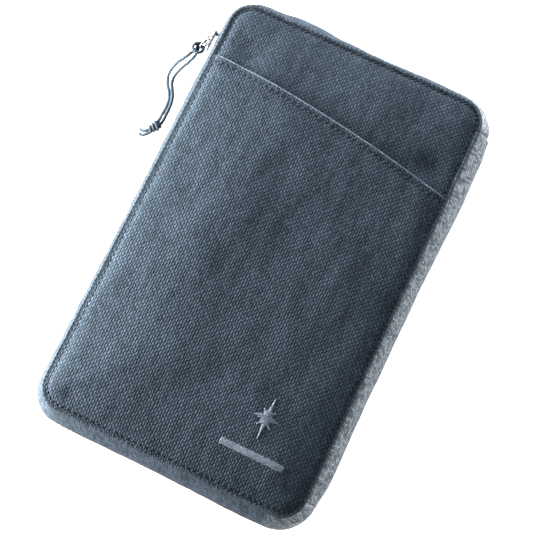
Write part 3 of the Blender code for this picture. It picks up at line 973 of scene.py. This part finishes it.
def strip(name, parts, stations, point, flip=False):
    """A strip of cloth. point gives a part's and a station's place and its own UV."""
    rows = []
    uvs = []
    for part in parts:
        pairs = [point(part, station) for station in stations]
        rows.append([pair[0] for pair in pairs])
        uvs.append([pair[1] for pair in pairs])
    return cloth_grid(name, rows, flip=flip, uvs=uvs)


def shell(side):
    return "front" if side > 0 else "back"


def side_bulge(x, out_x, out_y):
    """How far the side cloth stands out past the rim: fuller at the ends than along the zip."""
    ends = abs(out_y)
    left = max(-out_x, 0.0)
    if out_y < 0:
        full = 4.8 + 0.9 * hump(x, 42, 20.0) - 0.5 * hump(x, -66, 9.0)
    else:
        full = 3.4 + 2.2 * hump(x, -34, 15.0) + 0.6 * hump(x, 68, 8.0)
    right = max(out_x, 0.0) * (1 - ends)
    return left * 2.3 * (1 - ends) + full * ends + right * (5.3 if out_y > 0 else 4.6)


def make_gusset(side, body, finish, replaced):
    """One shell's side cloth, from under the rim out to its folded edge beside the zip tape."""

    def point(part, station):
        x, y, out_x, out_y, ahead = station
        bulge = side_bulge(x, out_x, out_y)
        crease = waver(ahead / 8.0, part * 1.1, side * 5.0)
        broad = waver(ahead / 26.0, part * 0.6, side * 9.0)
        calm = sin(part * pi) ** 0.7 if part < 1 else 0.0
        wave = (0.42 * crease + 0.55 * broad) * (calm + 0.25 * part)
        if abs(y - SLIDER_MIDDLE_Y) < 12 and out_x < -0.7:
            wave *= 0.2
        offset = -0.9 + (bulge + 0.9) * sin(part * pi / 2) ** 0.85 + wave
        height = DEPTH - 2.1 - 6.1 * part
        z = height if side > 0 else DEPTH - height
        return (x + out_x * offset, y + out_y * offset, z), (ahead, part * 9.0)

    frames = rim_frames(1.3, closed=False)
    parts = [step / 12 for step in range(13)]
    gusset = strip(shell(side) + "_side_cloth", parts, frames, point, side > 0)
    give_wall(gusset, 0.7)
    settle(gusset, body, finish, (replaced,))


def zip_offset(out_x, out_y):
    """The zip's distance out past the rim: further at the ends, where no slider runs."""
    return TAPE_OFFSET - 0.6 * (1 - abs(out_y)) + 0.5 * abs(out_y)


def make_zip_tape(side, body, finish, replaced):
    def point(part, station):
        x, y, out_x, out_y, ahead = station
        offset = zip_offset(out_x, out_y) - 0.25 + 0.2 * sin(part * pi)
        height = DEPTH - 7.6 - 3.3 * part
        z = height if side > 0 else DEPTH - height
        return (x + out_x * offset, y + out_y * offset, z), (ahead, part * 3.3)

    parts = (0.0, 0.2, 0.4, 0.6, 0.8, 1.0)
    frames = rim_frames(1.5, closed=False)
    tape = strip(shell(side) + "_tape_cloth", parts, frames, point, side > 0)
    give_wall(tape, 0.45)
    settle(tape, body, finish, (replaced,))


def make_coil(side, body, finish, replaced):
    """A row of small loops that end just short of the wallet's middle plane."""
    pitch = 1.3
    frames = rim_frames(0.1, closed=False)
    points = []
    faces = []
    next_place = pitch * (0.25 if side > 0 else 0.75)
    profile = ((-2.0, 0.62), (-1.2, 0.78), (0.2, 0.72), (0.75, 0.8), (1.0, 0.45))
    corners = ((-1, -1), (1, -1), (1, 1), (-1, 1))
    half_thick = 0.27
    # Holds the loops' ends back from the middle plane, so that the two shells part freely.
    draw_out = 0.8
    for x, y, out_x, out_y, ahead in frames:
        if ahead < next_place:
            continue
        next_place += pitch
        offset = zip_offset(out_x, out_y)
        closed_part = y < SLIDER_MIDDLE_Y - 2.0
        draw_back = 0.0 if closed_part else 1.3
        base = len(points)
        for reach, wall in profile:
            level = side * -(reach * 0.7 - 0.1) + side * draw_back
            for along_sign, out_sign in corners:
                along = along_sign * half_thick
                out = offset + out_sign * wall
                place_x = x + out_x * out - out_y * along
                place_y = y + out_y * out + out_x * along
                points.append((place_x, place_y, MIDDLE + level + side * draw_out))
        faces += band_faces(base, len(profile), len(corners))
    coil = add_mesh(shell(side) + "_coil_loops", points, faces)
    turn_outward(coil)
    settle(coil, body, finish, (replaced,), 40)


def make_spine(finish):
    """The spine strip, which bows out between the two rims and puckers near its lower end."""

    def point(part, y):
        calm = 1 - exp(-((SPINE_HALF - abs(y)) / 7.0) ** 2)
        ends = 1.5 * hump(y, 72, 34.0) + 0.4 * hump(y, -86, 12.0)
        broad = 0.3 * waver(y / 24.0, part * 1.3, 11.0)
        crease = 0.12 * waver(y / 7.0, part * 1.6, 13.0)
        fold = hump(y, -92, 4.5) * hump(part, 0.82, 0.16)
        pucker = 1.8 * sin((y + 92) / 0.85) * fold
        corner = 1.5 * exp(-((y - SPINE_HALF) / 9.0) ** 2)
        bulge = 4.95 + corner + calm * (1.15 + ends + broad + crease + pucker)
        offset = -0.9 + (bulge + 0.9) * sin(part * pi) ** 0.62
        return (HALF_WIDTH + offset, y, 2.1 + (DEPTH - 4.2) * part), (y, part * 25.0)

    count = 260
    ys = [(SPINE_HALF + 0.4) * (2 * index / count - 1) for index in range(count + 1)]
    cloth = strip("spine_cloth", [step / 22 for step in range(23)], ys, point)
    give_wall(cloth, 0.7)
    settle(cloth, "spine", finish, ("spine_panel",))
    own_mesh(cloth)


# ---- embroidery

STAR_CENTRE = (36.0, -75.0)
STAR_REACH = 10.5
BAR_BOX = (20.5, 53.5, -95.6, -91.4)


def star_outline():
    """A four-pointed star with small points between its long ones."""
    reaches = (STAR_REACH, 0.34 * STAR_REACH, 0.57 * STAR_REACH, 0.34 * STAR_REACH)
    points = []
    for index in range(16):
        angle = pi / 2 + index * pi / 8
        reach = reaches[index % 4]
        x = STAR_CENTRE[0] + 0.8 * reach * cos(angle)
        points.append((x, STAR_CENTRE[1] + reach * sin(angle)))
    return points


def crossings(outline, y):
    places = []
    for (x1, y1), (x2, y2) in zip(outline, outline[1:] + outline[:1]):
        if (y1 > y) != (y2 > y):
            places.append(x1 + (y - y1) * (x2 - x1) / (y2 - y1))
    places.sort()
    return list(zip(places[::2], places[1::2]))


def satin(name, strokes, finish, replaced):
    """Satin stitches: one rounded thread for each stroke, ending in the cloth at both ends."""
    points = []
    faces = []
    sides = 6
    cuts = 6
    for start, end in strokes:
        start = Vector((*start, 0.0))
        end = Vector((*end, 0.0))
        ahead = (end - start).normalized()
        aside = Vector((-ahead.y, ahead.x, 0.0))
        base = len(points)
        for cut in range(cuts + 1):
            part = cut / cuts
            place = start.lerp(end, part)
            rise = sin(part * pi) ** 0.5
            place.z = pocket_point(place.x, place.y)[2] + 0.36 * rise - 0.28
            thick = 0.29 * (0.4 + 0.6 * rise)
            for number in range(sides):
                angle = 2 * pi * number / sides
                up = Vector((0, 0, sin(angle) * thick))
                points.append(place + aside * cos(angle) * thick + up)
        faces += band_faces(base, cuts + 1, sides)
    work = add_mesh(name, points, faces)
    turn_outward(work)
    settle(work, "cover", finish, replaced)


def make_emblem(finish):
    pitch = 0.56
    outline = star_outline()
    strokes = []
    y = STAR_CENTRE[1] - STAR_REACH + pitch / 2
    while y < STAR_CENTRE[1] + STAR_REACH:
        for left, right in crossings(outline, y):
            strokes.append(((left - 0.15, y), (right + 0.15, y)))
        y += pitch
    satin("star_stitches", strokes, finish, ("emblem_star",))

    left, right, low, high = BAR_BOX
    strokes = []
    x = left
    while x < right:
        strokes.append(((x, low), (x + 0.3, high)))
        x += pitch
    satin("bar_stitches", strokes, finish, ("emblem_bar",))


# ---- inside


def inner_sheet(name, node, body, finish, ripple, flip=False):
    """A flat inner cloth of its CAD piece's size, with a soft ripple."""
    wall = 0.4
    low, high = node_box(node)
    half = ((high.x - low.x) / 2, (high.y - low.y) / 2)

    def point(x, y):
        level = (low.z + high.z) / 2 + wall / 2
        level += ripple * waver(x / 22.0, y / 30.0, len(name) * 1.7)
        if flip:
            level = low.z + high.z - level
        return (high.x + low.x) / 2 + x, (high.y + low.y) / 2 + y, level

    ys = spaced(half[1], *INNER_SPACING)
    cloth = cloth_grid(name, rounded_rows(half, 3.0, INNER_SPACING, ys, point), flip=flip)
    give_wall(cloth, wall)
    settle(cloth, body, finish, (node,))


def make_binding(node, body, finish, stitching, up):
    """The bound edge along an inner pocket's mouth, and the stitches under it."""
    low, high = node_box(node)
    face = high.z if up > 0 else low.z
    path = []
    for step in range(41):
        x = low.x + 1.2 + (high.x - low.x - 2.4) * step / 40
        wave = 0.12 * waver(x / 9.0, low.y / 7.0, 3.0)
        path.append((x, high.y - 0.75 + wave, face + up * 0.12))
    binding = tube_mesh(node + "_binding", path, 0.75, 10)
    settle(binding, body, finish)
    stations = []
    x = low.x + 4.0
    while x < high.x - 4.0:
        place = Vector((x, high.y - 2.4, face + up * 0.05))
        stations.append((place, Vector((1, 0, 0)), Vector((0, 0, up))))
        x += 3.0
    stitch_row(node + "_stitches", stations, stitching, body, 2.0, 0.22)


def make_inside(looks):
    make_binding("document_pocket", "back", looks["rim"], looks["satin"], 1)
    for number in (1, 2, 3):
        make_binding(f"card_slot_{number}", "cover", looks["rim"], looks["satin"], -1)
    lining = looks["lining"]
    inner_sheet("back_lining_cloth", "back_lining", "back", lining, 0.1)
    inner_sheet("front_lining_cloth", "front_lining", "cover", lining, 0.1, True)
    inner_sheet("document_pocket_cloth", "document_pocket", "back", lining, 0.1)
    inner_sheet("coin_pocket_net", "coin_pocket", "back", looks["net"], 0.1)
    for number in (1, 2, 3):
        node = f"card_slot_{number}"
        inner_sheet(node + "_cloth", node, "cover", lining, 0.08, True)


def finish_cad_nodes(looks):
    """Better materials for the CAD pieces whose shape stays."""
    kept = {
        "foam": ("back_stiffener", "front_stiffener"),
        "lining": ("spine_lining",),
        "tape_flat": ("coin_zip_tape_lower", "coin_zip_tape_upper"),
        "coil": ("coin_zip_coil_lower", "coin_zip_coil_upper"),
    }
    for look, nodes in kept.items():
        for node in nodes:
            thing = bpy.data.objects[node]
            thing.data.materials.clear()
            thing.data.materials.append(looks[look])


# ---- the whole wallet

make_camera()
make_studio()

rim_length = rim_frames(2.0, closed=False)[-1][4]
# Dark and light yarn, column, period, relief, then on_uv, turn, fleck and slubs.
CLOTHS = {
    "coarse": (
        (0.0015, 0.003, 0.005), (0.039, 0.057, 0.078), 1.26, 2.55, 0.23, False, 0.0, 0.35, 0.17
    ),
    "fine": ((0.03, 0.039, 0.05), (0.34, 0.375, 0.415), 0.85, 1.45, 0.12, True, 0.6, 0.8, 0.03),
    # The rim's yarns are lighter than the face's, partly as a painted highlight on the turned edge;
    # the inner bindings share them.
    "rim": ((0.006, 0.01, 0.015), (0.078, 0.106, 0.136), 1.2, 2.4, 0.3, True),
    # The hem's yarns are the coarse cloth's, painted lighter as a painted highlight on the fold.
    "hem": ((0.015, 0.022, 0.031), (0.125, 0.16, 0.2), 0.9, 1.8, 0.15, True),
    "lining": ((0.03, 0.036, 0.042), (0.13, 0.15, 0.17), 0.35, 0.7, 0.04),
    "tape": ((0.01, 0.013, 0.018), (0.06, 0.075, 0.09), 0.4, 0.8, 0.05, True),
    "tape_flat": ((0.01, 0.013, 0.018), (0.06, 0.075, 0.09), 0.4, 0.8, 0.05),
    "cord": ((0.003, 0.006, 0.01), (0.075, 0.1, 0.13), 0.5, 1.0, 0.09, True, pi / 4),
}
SPINE_YARN = (0.34, 0.375, 0.415)
looks = {name: woven_finish(name + "_cloth", *values) for name, values in CLOTHS.items()}
looks |= {
    # The side cloth's yarns are the spine's melange painted darker, as painted shade, with the
    # spine's own light yarn at its ends.
    "side": side_finish(
        "side_cloth", (0.008, 0.012, 0.017), (0.06, 0.079, 0.102), SPINE_YARN, rim_length
    ),
    "coil": coil_finish("coil_nylon", (0.02, 0.025, 0.032), (0.075, 0.088, 0.105)),
    "metal": metal_finish("plated_metal", (0.06, 0.064, 0.072), (0.24, 0.25, 0.27)),
    "seam": thread_finish("seam_thread", (0.0015, 0.003, 0.005), (0.008, 0.014, 0.021)),
    "satin": thread_finish("satin_thread", (0.04, 0.056, 0.075), (0.135, 0.17, 0.21)),
    "foam": foam_finish("foam_board"),
    "net": netting_finish("pocket_net"),
}

make_cords(looks["cord"])
padded_face("front_face", 1, looks["coarse"], "cover", "front_panel")
padded_face("back_face_cloth", -1, looks["coarse"], "back", "back_panel")
make_slip_pocket(looks["coarse"])
make_hem_fold(looks["hem"])
make_edge_stitches(1, "cover", looks["seam"])
make_edge_stitches(-1, "back", looks["seam"])
make_mouth_stitches(looks["seam"])
for make, look, node in (
    (make_rim, "rim", "piping"),
    (make_gusset, "side", "gusset"),
    (make_zip_tape, "tape", "zip_tape"),
    (make_coil, "coil", "zip_coil"),
):
    make(1, "cover", looks[look], "front_" + node)
    make(-1, "back", looks[look], "back_" + node)
make_spine(looks["fine"])
make_emblem(looks["satin"])
make_inside(looks)
finish_cad_nodes(looks)

main_turn = Matrix(((0, 0, -1), (1, 0, 0), (0, -1, 0))).to_4x4()
main_centre = Vector((-HALF_WIDTH - TAPE_OFFSET, SLIDER_MIDDLE_Y, MIDDLE))
main_place = Matrix.Translation(main_centre * MM) @ main_turn
make_slider("zip_slider", "slider_body", "slider", 1.0, 5.6, 2.0, main_place, looks["metal"])
ring_lie = (RING_PIVOT, RING_ALONG, Vector((0, 0, 1)))
ring_size = (RING_LENGTH, RING_HALF_WIDTH)
make_ring("zip_ring", "pull_ring", "pull", *ring_lie, *ring_size, looks["metal"])
coin_centre = Vector(((coin_low.x + coin_high.x) / 2, (coin_low.y + coin_high.y) / 2, 6.55))
coin_place = Matrix.Translation(coin_centre * MM)
make_slider(
    "coin_zip_slider", "coin_slider_body", "coin_slider", 0.75, 6.0, 1.3, coin_place, looks["metal"]
)
ring_lie = (Vector((-49.1, -11.0, 9.4)), Vector((-1, 0, 0)), Vector((0, 1, 0)))
make_ring("coin_zip_ring", "coin_pull_ring", "coin_pull", *ring_lie, 7.0, 2.6, looks["metal"])
